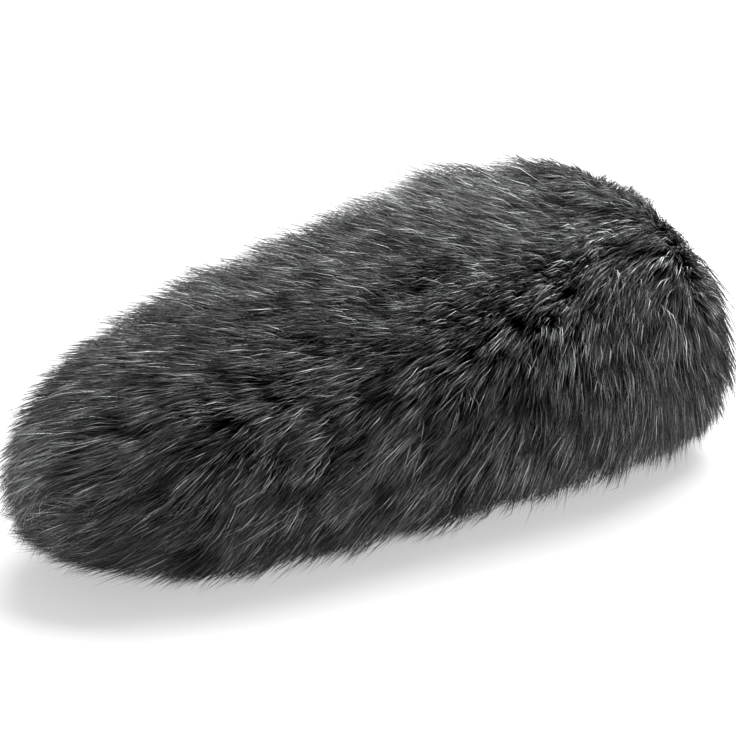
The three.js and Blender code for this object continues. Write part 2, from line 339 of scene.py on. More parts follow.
def grow_hairs():
    rng = np.random.default_rng(SEED)
    roots, normals, flow, way, reach = grow_tufts(rng)
    tuft = np.repeat(np.arange(len(roots)), HAIRS_IN_A_TUFT)
    count = len(tuft)
    normal = normals[tuft]
    spread = rng.normal(scale=0.6 * TUFT_SPACING, size=(count, 3))
    spread -= normal * (spread * normal).sum(1, keepdims=True)
    length = reach[tuft] * rng.beta(4, 1.25, count) * 1.08
    hold = rng.uniform(0.1, 0.7, (count, 1))
    start = roots[tuft] + spread
    end = roots[tuft] + spread * hold + way[tuft] * length[:, None]
    shift = rng.normal(size=(count, 3)) * length[:, None]
    stray = (rng.random(count) < STRAY_SHARE) & inside_envelope(end + STRAY_SHIFT * shift)
    end += shift * np.where(stray, STRAY_SHIFT, HAIR_SHIFT)[:, None]
    lying = unit(flow[tuft] + 0.35 * normal + rng.normal(scale=0.08, size=(count, 3)))
    rising = unit(normal + 0.6 * way[tuft])
    curl = rng.normal(scale=0.035, size=(count, 3))
    leave = start + rising * length[:, None] * 0.3
    path = bezier(start, leave, end - (lying + curl) * length[:, None] * 0.36, end)
    path[..., 2] = rest_on_table(path[..., 2], rng)
    tone = rng.normal(scale=0.95, size=count) + tuft_tones_and_painted_shading(roots, rng)[tuft]
    # Hairs whose tips reach past the nose are paler: painted light, for the bright fringe round the nose tip.
    tone += 0.9 * stray + 0.85 * smooth_step(-end[:, 0], 99 * MM, 109 * MM)
    tone = np.exp(tone)
    return path, np.clip(tone, 0.04, 6.0)


def tuft_tones_and_painted_shading(roots, rng):
    """How pale each tuft is, as a logarithm: mixed locks at random, painted shade that darkens the nose and
    most of all its lower side, painted light that makes the top paler from the middle back, and a little
    darker towards the mouth.
    """
    x, z = roots[:, 0], roots[:, 2]
    tone = rng.normal(scale=0.62, size=len(roots)) - 0.84
    tone += 0.28 * swirl(roots, 11 * MM, 6)[:, 0] + 0.28 * swirl(roots, 5 * MM, 7)[:, 0]
    # Painted shade: darker towards the nose, and most of all low on the nose.
    tone -= 0.25 * smooth_step(-x, 20 * MM, 90 * MM)
    tone -= 0.8 * smooth_step(-x, 30 * MM, 70 * MM) * smooth_step(-z, -36 * MM, -16 * MM)
    tone -= 0.3 * smooth_step(x, 76 * MM, 90 * MM)
    # Painted light: paler on top, from the middle back to the mouth.
    tone += 0.45 * smooth_step(x, 10 * MM, 50 * MM) * smooth_step(z, 34 * MM, 58 * MM)
    return tone


def rest_on_table(height, rng):
    """Hair that would reach below the table lies on it instead."""
    clearance = 0.35 * MM
    layer = rng.uniform(0, 1.2 * MM, height.shape[0])[:, None]
    lowest = clearance + layer
    sunk = np.clip((lowest - height) / (6 * MM), 0, 1)
    return np.where(height < lowest, lowest - (lowest - clearance) * sunk, height)


def bezier(a, b, c, d):
    t = np.append(RING_STEPS, 1.0)[None, :, None]
    a, b, c, d = (p[:, None, :] for p in (a, b, c, d))
    return a * (1 - t) ** 3 + 3 * b * t * (1 - t) ** 2 + 3 * c * t**2 * (1 - t) + d * t**3


HAIR_RADIUS = 0.135 * MM
RING_RADII = np.array([0.85, 1.0, 0.66])


def hair_points(path, rng):
    """The ten points of each hair, from the four points of its path."""
    count = len(path)
    along = unit(path[:, 3] - path[:, 0])
    side = unit(np.cross(along, rng.normal(size=(count, 3))))
    other = np.cross(along, side)
    radius = HAIR_RADIUS * rng.uniform(0.7, 1.25, count)
    points = np.empty((count, POINTS_IN_A_HAIR, 3))
    for ring, share in enumerate(RING_RADII):
        for j in range(3):
            turn = 2 * math.pi * j / 3
            offset = side * math.cos(turn) + other * math.sin(turn)
            points[:, 3 * ring + j] = path[:, ring] + offset * (radius * share)[:, None]
    points[:, 9] = path[:, 3]
    return points


def hair_faces():
    """The sixteen faces of a hair, and for each of their corners its place round the hair and along it."""
    faces, corners = [(2, 1, 0)], [((0.9, 0.0), (0.5, 0.0), (0.1, 0.0))]
    steps = np.append(RING_STEPS, 1.0)
    for ring in range(3):
        low, high = steps[ring], steps[ring + 1]
        for j in range(3):
            a, b = 3 * ring + j, 3 * ring + (j + 1) % 3
            left, right = j / 3, (j + 1) / 3
            if ring < 2:
                faces += [(a, b, b + 3), (a, b + 3, a + 3)]
                corners.append(((left, low), (right, low), (right, high)))
                corners.append(((left, low), (right, high), (left, high)))
            else:
                faces.append((a, b, 9))
                corners.append(((left, low), (right, low), ((left + right) / 2, high)))
    return np.array(faces), np.array(corners).reshape(-1, 2)


HAIR_FACES, HAIR_CORNERS = hair_faces()


def hair_map(mesh, count):
    """A map with one small cell for each hair, its root at the cell's foot."""
    cells = math.ceil(math.sqrt(count))
    margin = 0.14
    which = np.arange(count)
    foot = np.stack([which % cells, which // cells], -1)[:, None, :]
    places = (foot + margin + HAIR_CORNERS[None] * (1 - 2 * margin)) / cells
    layer = mesh.uv_layers.new(name="OFBake")
    layer.data.foreach_set("uv", places.astype(np.float32).ravel())


def pile_piece(name, path, tone, material, rng):
    count = len(path)
    points = hair_points(path, rng)
    faces = (HAIR_FACES[None] + (np.arange(count) * POINTS_IN_A_HAIR)[:, None, None]).reshape(-1, 3)
    mesh = bpy.data.meshes.new(name)
    mesh.vertices.add(count * POINTS_IN_A_HAIR)
    mesh.vertices.foreach_set("co", points.astype(np.float32).ravel())
    mesh.loops.add(faces.size)
    mesh.loops.foreach_set("vertex_index", faces.astype(np.int32).ravel())
    mesh.polygons.add(len(faces))
    mesh.polygons.foreach_set("loop_start", np.arange(0, faces.size, 3, dtype=np.int32))
    mesh.update(calc_edges=True)
    hair_map(mesh, count)
    along = np.repeat(np.append(RING_STEPS, 1.0), [3, 3, 3, 1])
    values = np.stack(np.broadcast_arrays(along, tone[:, None], rng.random(count)[:, None], 1.0), -1)
    shade = mesh.color_attributes.new("hair", "FLOAT_COLOR", "POINT")
    shade.data.foreach_set("color", values.astype(np.float32).ravel())
    return linked(name, mesh, material)


def fur_material():
    """Each hair is dark at its root and pale at its tip, times a tone of its own, which carries painted light
    and shade as well as random tone.
    """
    n = Nodes("long_pile", 0.42, 0.32)
    hair = n.add("ShaderNodeAttribute", {"attribute_name": "hair"}).outputs["Color"]
    parts = n.add("ShaderNodeSeparateColor", Color=hair).outputs
    along = n.add("ShaderNodeValToRGB", Fac=parts["Red"])
    root, tip = along.color_ramp.elements
    # The near-black root is partly the pile's own dark base and partly painted shade deep in the pile.
    root.position, root.color = 0.32, (0.0015, 0.0015, 0.0015, 1)
    tip.position, tip.color = 1.0, (0.245, 0.252, 0.248, 1)
    along.color_ramp.elements.new(0.62).color = (0.042, 0.044, 0.0432, 1)
    scale = {"operation": "SCALE"}
    tinted = n.add("ShaderNodeVectorMath", scale, _0=along.outputs["Color"], Scale=parts["Green"])
    n.feed(n.shader.inputs["Base Color"], tinted.outputs["Vector"])
    return n.material


def make_fur():
    """The pile of each panel, in pieces of a workable size, ordered from the nose to the mouth."""
    path, tone = grow_hairs()
    material = fur_material()
    rng = np.random.default_rng(SEED + 1)
    root = path[:, 0]
    nose, rear, high = root[:, 0] < NOSE_SEAM_X, root[:, 0] > REAR_SEAM_X, root[:, 2] > SEAM_Z
    upper, lower = ~nose & ~rear & high, ~nose & ~rear & ~high
    panels = {"nose_cap": nose, "upper_panel": upper, "lower_panel": lower, "rear_panel": rear}
    for panel, within in panels.items():
        key = panel.split("_")[0]
        hairs = np.flatnonzero(within)
        hairs = hairs[np.argsort(root[hairs, 0])]
        for i, part in enumerate(np.array_split(hairs, math.ceil(len(hairs) / HAIRS_IN_A_PIECE))):
            piece = pile_piece(f"pile_{key}_{i + 1}", path[part], tone[part], material, rng)
            on_body(piece, "cover", "fur", f"fur_{panel}")


# ---- Solids made from grids of points. Their map called "cloth" is in millimetres, for the weave or grain.


def grid_corner_normals(grid, wrap):
    """A unit normal at each point of a grid, pointing out of the windscreen."""
    if wrap:
        across = np.roll(grid, -1, axis=1) - np.roll(grid, 1, axis=1)
    else:
        across = np.gradient(grid, axis=1)
    along = np.gradient(grid, axis=0)
    return unit(np.cross(across, along))


def cloth_lengths(grid, wrap):
    """Lengths round and along a grid, in millimetres, with a closing column where it wraps."""
    closed = looped(grid, 1) if wrap else grid
    return running(step_lengths(closed, 1).mean(0)) / MM, running(step_lengths(closed).mean(1)) / MM


def surface_faces(rows, columns, wrap, first=0):
    """Quads over a grid of points, as corner indices and as (row, column) places."""
    quads, places = [], []
    for i in range(rows - 1):
        for j in range(columns if wrap else columns - 1):
            k = (j + 1) % columns
            quads.append((i * columns + j, i * columns + k, (i + 1) * columns + k, (i + 1) * columns + j))
            places.append(((i, j), (i, j + 1), (i + 1, j + 1), (i + 1, j)))
    return [tuple(first + c for c in q) for q in quads], places


def cloth_mesh(name, points, faces, places, lengths, material):
    """A mesh with the cloth map, from faces and the (row, column) places of their corners."""
    piece = mesh_object(name, points, faces, material)
    layer = piece.data.uv_layers.new(name="cloth")
    u, v = lengths
    flat = [(u[j], v[i]) for place in places for i, j in place]
    layer.data.foreach_set("uv", np.array(flat, np.float32).ravel())
    return piece


def skin_piece(name, grid, thickness, material, wrap=False, tip=None):
    """Cloth of a thickness under a grid of points, both faces and all edges. tip closes a rounded nose."""
    rows, columns = grid.shape[:2]
    inside = grid - grid_corner_normals(grid, wrap) * thickness
    count = rows * columns
    points = np.concatenate([grid.reshape(-1, 3), inside.reshape(-1, 3)])
    outer, outer_places = surface_faces(rows, columns, wrap)
    inner, inner_places = surface_faces(rows, columns, wrap, count)
    faces = outer + [q[::-1] for q in inner]
    places = outer_places + [p[::-1] for p in inner_places]

    def edge(line, flip):
        for (i, j), (k, m) in zip(line, line[1:]):
            a, b = i * columns + j % columns, k * columns + m % columns
            quad = (a, b, b + count, a + count)
            faces.append(quad[::-1] if flip else quad)
            places.append(((i, j), (k, m), (k, m), (i, j)))

    across = range(columns + 1 if wrap else columns)
    if tip is None:
        edge([(0, j) for j in across], True)
    edge([(rows - 1, j) for j in across], False)
    if not wrap:
        edge([(i, 0) for i in range(rows)], False)
        edge([(i, columns - 1) for i in range(rows)], True)
    if tip is not None:
        points = np.concatenate([points, [tip, np.array(tip) + (thickness, 0, 0)]])
        for j in range(columns):
            k = (j + 1) % columns
            faces += [(2 * count, k, j), (2 * count + 1, count + j, count + k)]
            places += [((0, j), (0, j + 1), (0, j)), ((0, j), (0, j), (0, j + 1))]
    return cloth_mesh(name, points, faces, places, cloth_lengths(grid, wrap), material)


def ring_piece(name, grid, material):
    """A solid ring. Each row of the grid is one loop round the axis: the rows run towards +X outside and back
    inside, and the last row meets the first."""
    rows, columns = grid.shape[:2]
    faces, places = surface_faces(rows + 1, columns, True)
    faces = [tuple(c % (rows * columns) for c in q) for q in faces]
    return cloth_mesh(name, grid.reshape(-1, 3), faces, places, cloth_lengths(looped(grid), True), material)


def capped_piece(name, grid, material, first, last):
    """A solid from rings, closed by a point at each end."""
    rows, columns = grid.shape[:2]
    faces, places = surface_faces(rows, columns, True)
    points = np.concatenate([grid.reshape(-1, 3), [first, last]])
    end = rows * columns
    for j in range(columns):
        k = (j + 1) % columns
        faces += [(end, k, j), (end + 1, end - columns + j, end - columns + k)]
        places += [((0, j), (0, j + 1), (0, j)), ((rows - 1, j), (rows - 1, j), (rows - 1, j + 1))]
    return cloth_mesh(name, points, faces, places, cloth_lengths(grid, True), material)


def turned_grid(profile, sides):
    """Rings round the bore's axis, one for each (x, radius) of a profile."""
    turn = even_turns(sides)
    x, radius = (np.array(profile)[:, k][:, None] for k in (0, 1))
    flat = np.ones(sides)[None]
    return np.stack([x * flat, radius * np.cos(turn), BORE_Z + radius * np.sin(turn)], -1)


def rounded(outline, radius, steps=4):
    """A closed outline with each corner rounded off."""
    outline = np.array(outline, float)
    made = []
    for k, corner in enumerate(outline):
        before, after = outline[k - 1] - corner, outline[(k + 1) % len(outline)] - corner
        cut_before = min(radius, np.linalg.norm(before) * 0.45)
        cut_after = min(radius, np.linalg.norm(after) * 0.45)
        start, end = corner + unit(before) * cut_before, corner + unit(after) * cut_after
        for t in np.linspace(0, 1, steps + 1):
            made.append(start * (1 - t) ** 2 + 2 * corner * t * (1 - t) + end * t**2)
    return np.array(made)


def spaced_outline(outline, spacing):
    """A closed outline with points added so that none are further apart than the spacing."""
    made = []
    for k, point in enumerate(outline):
        following = outline[(k + 1) % len(outline)]
        steps = max(1, math.ceil(np.linalg.norm(following - point) / spacing))
        made += [point + (following - point) * t / steps for t in range(steps)]
    return np.array(made)


# ---- Materials.


BLUE = 1.03  # how much bluer than grey every dark material is


class Nodes:
    """A material under construction: its shader, and short calls for the nodes that feed it."""

    def __init__(self, name, roughness, specular=0.5, sheen=0.0):
        self.material = bpy.data.materials.new(name)
        self.material.use_nodes = True
        self.tree = self.material.node_tree
        self.shader = self.tree.nodes["Principled BSDF"]
        self.shader.inputs["Roughness"].default_value = roughness
        self.shader.inputs["Specular IOR Level"].default_value = specular
        self.shader.inputs["Sheen Weight"].default_value = sheen

    def add(self, kind, settings=(), **inputs):
        """A node. An input is named by its socket, with _ for a space, or by its number, as in _0."""
        node = self.tree.nodes.new(kind)
        for key, value in dict(settings).items():
            setattr(node, key, value)
        for key, value in inputs.items():
            self.feed(node.inputs[int(key[1:]) if key[0] == "_" else key.replace("_", " ")], value)
        return node

    def feed(self, socket, value):
        if isinstance(value, bpy.types.NodeSocket):
            self.tree.links.new(value, socket)
        else:
            socket.default_value = value

    def math(self, operation, a, b=0.0):
        return self.add("ShaderNodeMath", {"operation": operation}, _0=a, _1=b).outputs[0]

    def blend(self, a, a_share, b, b_share):
        """The sum of two values, each times its share."""
        return self.math("ADD", self.math("MULTIPLY", a, a_share), self.math("MULTIPLY", b, b_share))

    def cloth(self):
        """The cloth map's two lengths, in millimetres."""
        places = self.add("ShaderNodeUVMap", {"uv_map": "cloth"}).outputs["UV"]
        split = self.add("ShaderNodeSeparateXYZ", Vector=places)
        return split.outputs["X"], split.outputs["Y"]

    def wave(self, length, pitch, phase=0.0):
        """A smooth wave from 0 to 1 along a length, with a pitch in the same unit."""
        turns = self.math("ADD", self.math("MULTIPLY", length, 2 * math.pi / pitch), phase)
        return self.math("ADD", self.math("MULTIPLY", self.math("SINE", turns), 0.5), 0.5)

    def place(self):
        """A place fixed to the object."""
        return self.add("ShaderNodeTexCoord").outputs["Object"]

    def noise(self, size, detail=4.0, roughness=0.6):
        """Noise from 0 to 1 with features of a size in metres."""
        settings = {"Scale": 1 / size, "Detail": detail, "Roughness": roughness}
        return self.add("ShaderNodeTexNoise", Vector=self.place(), **settings).outputs["Fac"]

    def cells(self, size):
        """Distance from the walls of cells of a size in metres."""
        edge = {"feature": "DISTANCE_TO_EDGE"}
        return self.add("ShaderNodeTexVoronoi", edge, Vector=self.place(), Scale=1 / size).outputs["Distance"]

    def surface(self, tone, span, greys, roughness, limits, height, depth, strength=1.0):
        """The finished material: from a dark to a light grey as tone crosses a span, rough between two limits
        as another value goes from 0 to 1, and raised by a height from 0 to 1 times a depth."""
        ramp = self.add("ShaderNodeValToRGB", Fac=tone)
        for element, position, value in zip(ramp.color_ramp.elements, span, greys):
            element.position, element.color = position, (value, value, value * BLUE, 1)
        low, high = limits
        rough = self.add("ShaderNodeMapRange", Value=roughness, To_Min=low, To_Max=high)
        bump = self.add("ShaderNodeBump", Height=height, Distance=depth, Strength=strength)
        self.feed(self.shader.inputs["Base Color"], ramp.outputs["Color"])
        self.feed(self.shader.inputs["Roughness"], rough.outputs["Result"])
        self.feed(self.shader.inputs["Normal"], bump.outputs["Normal"])
        return self.material


def knit_material(name, dark, light, pitch):
    """Warp-knit jersey: columns of small V stitches."""
    n = Nodes(name, 0.85, 0.25, 0.25)
    u, v = n.cloth()
    column = n.wave(u, pitch)
    slant = n.math("MULTIPLY", n.math("ABSOLUTE", n.math("SUBTRACT", column, 0.5)), pitch * 0.9)
    course = n.wave(n.math("ADD", v, slant), pitch * 0.8)
    height = n.math("MULTIPLY", n.math("POWER", column, 0.6), course)
    fuzz = n.noise(0.35 * MM)
    mixed = n.blend(height, 0.75, fuzz, 0.35)
    return n.surface(mixed, (0.1, 0.95), (dark, light), fuzz, (0.75, 0.95), mixed, 0.35 * MM, 0.9)


def twill_material(name, dark, light, pitch):
    """Twill tape with a diagonal rib."""
    n = Nodes(name, 0.8, 0.3, 0.15)
    u, v = n.cloth()
    height = n.blend(n.wave(n.math("ADD", u, v), pitch), 0.7, n.wave(v, pitch * 0.5), 0.3)
    mixed = n.blend(height, 1.0, n.noise(0.5 * MM), 0.2)
    return n.surface(mixed, (0.2, 1.1), (dark, light), n.noise(3 * MM), (0.68, 0.9), height, 0.25 * MM, 0.8)


def elastic_material():
    """Ribbed elastic: covered rubber cores along it, crossed by fine yarn."""
    n = Nodes("braided_elastic", 0.75, 0.35)
    u, v = n.cloth()
    core = n.wave(v, 0.9)
    yarn = n.wave(n.blend(u, 1.0, core, 0.3), 0.5)
    height = n.blend(core, 0.65, yarn, 0.35)
    return n.surface(height, (0.1, 1.0), (0.006, 0.03), yarn, (0.6, 0.85), height, 0.3 * MM)


def label_material():
    """Blank satin weave."""
    n = Nodes("satin_label", 0.55, 0.5, 0.2)
    u, v = n.cloth()
    weft = n.wave(n.blend(v, 1.0, u, 0.35), 0.55)
    raised = n.math("ADD", n.math("MULTIPLY", weft, 0.6), 0.4)
    height = n.math("MULTIPLY", n.wave(u, 0.32), raised)
    return n.surface(height, (0.0, 1.0), (0.02, 0.075), weft, (0.42, 0.66), height, 0.15 * MM, 0.7)


def thread_material():
    """Polyester sewing thread: two twisted plies."""
    n = Nodes("sewing_thread", 0.55, 0.45)
    u, v = n.cloth()
    ply = n.wave(n.math("ADD", v, u), 0.5)
    return n.surface(ply, (0.0, 1.0), (0.01, 0.05), ply, (0.45, 0.7), ply, 0.1 * MM)


def foam_material():
    """Open-cell foam: pale struts round pores darkened with painted shade, finer pores between, and slow
    mottling.
    """
    n = Nodes("open_cell_foam", 0.95, 0.08)
    coarse = n.math("MULTIPLY", n.cells(1.5 * MM), 2.0)
    pores = n.math("MINIMUM", coarse, n.math("MULTIPLY", n.cells(0.7 * MM), 3.0))
    slow = n.math("MULTIPLY", n.noise(18 * MM, 2.0), 0.3)
    # The pores' dark centres are painted shade in the hollows.
    mixed = n.math("SUBTRACT", n.math("ADD", 0.9, slow), pores)
    struts = n.math("MULTIPLY", pores, -1.0)
    return n.surface(mixed, (0.1, 1.15), (0.002, 0.05), mixed, (0.98, 0.85), struts, 0.5 * MM)


def felt_material():
    """Pressed felt: tangled fibres over a slightly uneven face."""
    n = Nodes("pressed_felt", 0.95, 0.15, 0.3)
    fibre = n.noise(0.25 * MM, 8.0, 0.75)
    mixed = n.blend(fibre, 0.7, n.noise(2.2 * MM, 2.0), 0.3)
    return n.surface(mixed, (0.25, 0.75), (0.012, 0.06), fibre, (0.88, 1.0), mixed, 0.4 * MM)


def braid_material():
    """Braided nylon sleeve: two sets of crossing filaments, with the openings between them darkened by
    painted shade.
    """
    n = Nodes("braided_sleeve", 0.5, 0.45)
    u, v = n.cloth()
    left = n.wave(n.math("ADD", u, v), 1.6)
    right = n.wave(n.math("SUBTRACT", u, v), 1.6, 1.3)
    height = n.math("MAXIMUM", n.math("POWER", left, 2.0), n.math("POWER", right, 2.0))
    # Dark openings between the filaments are painted shade.
    return n.surface(height, (0.1, 0.9), (0.002, 0.035), height, (0.8, 0.42), height, 0.3 * MM)


def plastic_material():
    """Spark-textured moulded plastic with slight handling polish."""
    n = Nodes("moulded_plastic", 0.5, 0.4)
    grain = n.noise(0.3 * MM, 5.0, 0.7)
    mixed = n.blend(grain, 0.5, n.noise(9 * MM, 3.0), 0.5)
    return n.surface(mixed, (0.3, 0.75), (0.010, 0.024), mixed, (0.42, 0.68), grain, 0.12 * MM, 0.6)


def rubber_material():
    """Soft black rubber with a dry bloom in patches and faint dust."""
    n = Nodes("soft_rubber", 0.65, 0.4)
    bloom = n.noise(6 * MM, 4.0, 0.65)
    dust = n.noise(0.4 * MM, 2.0, 0.8)
    mixed = n.blend(bloom, 0.75, dust, 0.25)
    height = n.math("ADD", dust, bloom)
    return n.surface(mixed, (0.35, 0.75), (0.006, 0.022), mixed, (0.5, 0.82), height, 0.08 * MM, 0.7)


# ---- The sewn cover: backing, lining, seam tapes, hem, elastic, label and thread.

BACKING_THICKNESS = 0.9 * MM
LINING_DEPTH, LINING_THICKNESS = 1.45 * MM, 0.8 * MM
TAPE_DEPTH, TAPE_THICKNESS = 0.35 * MM, 0.7 * MM
HALF_GAP = 0.15 * MM  # half of the gap at a seam between panels
TURNS = 150  # points round the cover


def seam_turn(x, depth, height):
    """The turn at which the cavity surface passes a height, on the left side."""
    _, half_height, centre = cavity_section(x, depth)
    share = np.clip((height - centre) / np.maximum(half_height, 1e-6), -1, 1)
    return np.sign(share) * np.arcsin(np.abs(share) ** (CAVITY_EXPONENT / 2))


def band_grid(x, depth, start, end, columns):
    """Points on the cavity surface between two turns, which may change along X."""
    share = np.linspace(0, 1, columns)[None]
    return cavity_grid(x, depth, start[:, None] * (1 - share) + end[:, None] * share)


def panel_grids(x, depth):
    """The upper and lower panels of a skin, which meet along the side seams."""
    upper = seam_turn(x, depth, SEAM_Z + HALF_GAP)
    lower = seam_turn(x, depth, SEAM_Z - HALF_GAP)
    return (
        band_grid(x, depth, upper, math.pi - upper, TURNS // 2),
        band_grid(x, depth, math.pi - lower, 2 * math.pi + lower, TURNS // 2),
    )


def full_grid(x, depth, turns=TURNS):
    return cavity_grid(x, depth, even_turns(turns))


def nose_stations(depth):
    """Stations from the tip of a layer to the nose seam."""
    x = cap_stations(CAVITY_TIP_X + depth, PLUG_HIGH.x, 56)
    return np.append(x[x < NOSE_SEAM_X - 0.5 * MM], NOSE_SEAM_X)


def tip_point(depth):
    x = CAVITY_TIP_X + depth
    return (x, 0, cavity_section(np.array([x]), depth)[2][0])


def cap_sheet(grid):
    """Works out the size of a nose cap, cut as an oval as wide and as long as its arcs over the tip; nothing
    uses it.
    """
    length = step_lengths(grid).sum(0)
    across, up = length[0], length[len(length) // 4]
    area = np.linalg.norm(grid_normals(grid), axis=-1).sum()
    area = min(area, 4 * across * up)


def make_backing():
    """The knitted ground of the fur, in the four panels that the pile grows from."""
    material = knit_material("fur_backing", 0.006, 0.022, 1.3)
    made = {}
    nose = full_grid(nose_stations(-ROOT_LIFT), -ROOT_LIFT)
    made["nose"] = skin_piece("backing_nose", nose, BACKING_THICKNESS, material, True, tip_point(-ROOT_LIFT))
    cap_sheet(nose)
    middle_x = np.linspace(NOSE_SEAM_X + 2 * HALF_GAP, REAR_SEAM_X - 2 * HALF_GAP, 70)
    for key, grid in zip(("upper", "lower"), panel_grids(middle_x, -ROOT_LIFT)):
        made[key] = skin_piece(f"backing_{key}", grid, BACKING_THICKNESS, material)
    x, depth = backing_profile()
    x = np.append(REAR_SEAM_X, x[x > REAR_SEAM_X])
    depth = np.append(-ROOT_LIFT, depth[-(len(x) - 1):])
    rear = full_grid(*smooth_line(np.stack([x, depth], -1), 60).T)
    made["rear"] = skin_piece("backing_rear", rear, BACKING_THICKNESS, material, True)
    for key, piece in made.items():
        on_body(piece, "cover", "fur", "fur_nose_cap" if key == "nose" else f"fur_{key}_panel")


def smooth_line(points, count):
    """An open line resampled evenly, with its corners softened."""
    for _ in range(2):
        before, after = points[:-1], points[1:]
        cut = np.concatenate([before * 0.75 + after * 0.25, before * 0.25 + after * 0.75], 1)
        points = np.concatenate([points[:1], cut.reshape(-1, points.shape[1]), points[-1:]])
    length = running(step_lengths(points))
    return sampled(np.linspace(0, length[-1], count), length, points)


def make_lining():
    material = knit_material("mesh_jersey_lining", 0.004, 0.018, 1.0)
    nose = full_grid(nose_stations(LINING_DEPTH), LINING_DEPTH)
    piece = skin_piece("lining_nose", nose, LINING_THICKNESS, material, True, tip_point(LINING_DEPTH))
    cap_sheet(nose)
    on_body(piece, "cover", "lining", "lining_nose_cap")
    x = np.linspace(NOSE_SEAM_X + 2 * HALF_GAP, LINING_END_X, 80)
    for key, grid in zip(("upper", "lower"), panel_grids(x, LINING_DEPTH)):
        piece = skin_piece(f"lining_{key}", grid, LINING_THICKNESS, material)
        on_body(piece, "cover", "lining", f"lining_{key}_panel")


def make_tapes():
    """Seam binding between the backing and the lining."""
    material = twill_material("seam_binding", 0.008, 0.03, 0.8)
    for side in ("left", "right"):
        low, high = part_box(f"seam_tape_{side}")
        x = np.linspace(low.x, high.x, 60)
        first = seam_turn(x, TAPE_DEPTH, low.z)
        last = seam_turn(x, TAPE_DEPTH, high.z)
        grid = band_grid(x, TAPE_DEPTH, first, last, 12)
        if side == "right":
            grid = grid[:, ::-1] * np.array([1, -1, 1])
        piece = skin_piece(f"tape_{side}", grid, TAPE_THICKNESS, material)
        on_body(piece, "cover", "tape", f"seam_tape_{side}")
    for end in ("nose", "rear"):
        low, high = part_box(f"seam_tape_{end}")
        grid = full_grid(np.linspace(low.x, high.x, 10), TAPE_DEPTH, 240)
        piece = skin_piece(f"tape_{end}", grid, TAPE_THICKNESS, material, True)
        on_body(piece, "cover", "tape", f"seam_tape_{end}")


HEM_THICKNESS = 0.7 * MM
HEM_OUTER, HEM_INNER = -2.9 * MM, 2.3 * MM  # depths of the channel's two sides
GATHERS = 46
GATHER_HEIGHT = 0.32 * MM
STITCH_PITCH, STITCH_GAP, STITCH_RADIUS = 2.4 * MM, 0.45 * MM, 0.22 * MM
ELASTIC_DEPTH, ELASTIC_THICKNESS = -1.3 * MM, 1.4 * MM
LABEL_THICKNESS = 0.2 * MM


def make_hem():
    """The channel round the mouth, folded over the elastic and gathered by it."""
    front, back = HEM_LOW.x, HEM_HIGH.x
    outer, inner = HEM_OUTER, HEM_INNER
    line = np.array([(front, outer + 0.5 * MM), (back - 1.6 * MM, outer + 0.4 * MM),
                     (back - 0.3 * MM, outer + 1 * MM), (back, 0), (back - 0.3 * MM, inner - 1 * MM),
                     (back - 1.4 * MM, inner), (front, inner)])
    line = smooth_line(line, 40)
    turns = 460
    grid = full_grid(line[:, 0], line[:, 1], turns)
    turn = even_turns(turns)
    uneven = 0.6 * np.sin(3 * turn + 1) + 0.4 * np.sin(5 * turn)
    fold = np.sin(GATHERS * turn + 1.4 * uneven) * (0.8 + 0.2 * np.cos(7 * turn))
    fade = np.sin(np.linspace(0.12, 1, len(line)) * math.pi)[:, None]
    normals = grid_corner_normals(grid, True)
    grid = grid - normals * ((1 - fold[None] * fade) * GATHER_HEIGHT / 2)[..., None]
    material = knit_material("hem_fabric", 0.005, 0.024, 0.9)
    piece = skin_piece("hem", grid, HEM_THICKNESS, material, True)
    on_body(piece, "cover", "hem", "hem_channel")
    on_body(stitch_ring("hem_stitches", grid[-5], normals[-5]), "cover", "hem")


def stitch_ring(name, path, lift):
    """A row of sewing stitches round a closed path: short threads that rise out of the cloth and dip back."""
    path, lift = looped(path), looped(lift)
    length = running(step_lengths(path))
    count = int(length[-1] / STITCH_PITCH)
    steps, sides = 7, 6
    points, faces, places = [], [], []
    for k in range(count):
        at = np.linspace(k * STITCH_PITCH, (k + 1) * STITCH_PITCH - STITCH_GAP, steps)
        line, up = sampled(at, length, path), unit(sampled(at, length, lift))
        rise = np.sin(np.linspace(0, math.pi, steps)) * 0.5 * MM - 0.2 * MM
        line = line + up * rise[:, None]
        way = unit(np.gradient(line, axis=0))
        side = unit(np.cross(way, up))
        other = np.cross(side, way)
        first = len(points)
        shrink = np.sqrt(np.clip(1 - np.linspace(-1, 1, steps) ** 8, 0.15, 1)) * STITCH_RADIUS
        ring = [side * math.cos(turn) + other * math.sin(turn) for turn in even_turns(sides)]
        points += [*(line[:, None] + np.stack(ring, 1) * shrink[:, None, None]).reshape(-1, 3)]
        quads, spots = surface_faces(steps, sides, True, first)
        faces += [q[::-1] for q in quads]
        places += [p[::-1] for p in spots]
        last = first + (steps - 1) * sides
        faces += [tuple(range(first, first + sides)), tuple(range(last + sides - 1, last - 1, -1))]
        places += [tuple((0, j) for j in range(sides)), tuple((steps - 1, j) for j in reversed(range(sides)))]
    lengths = np.arange(sides + 1) * 0.23, np.arange(steps) * 0.33
    return cloth_mesh(name, np.array(points), faces, places, lengths, thread_material())


def make_elastic():
    low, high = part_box("elastic_ring")
    grid = full_grid(np.linspace(low.x, high.x, 12), ELASTIC_DEPTH, 260)
    piece = skin_piece("elastic_band", grid, ELASTIC_THICKNESS, elastic_material(), True)
    on_body(piece, "cover", "elastic", "elastic_ring")


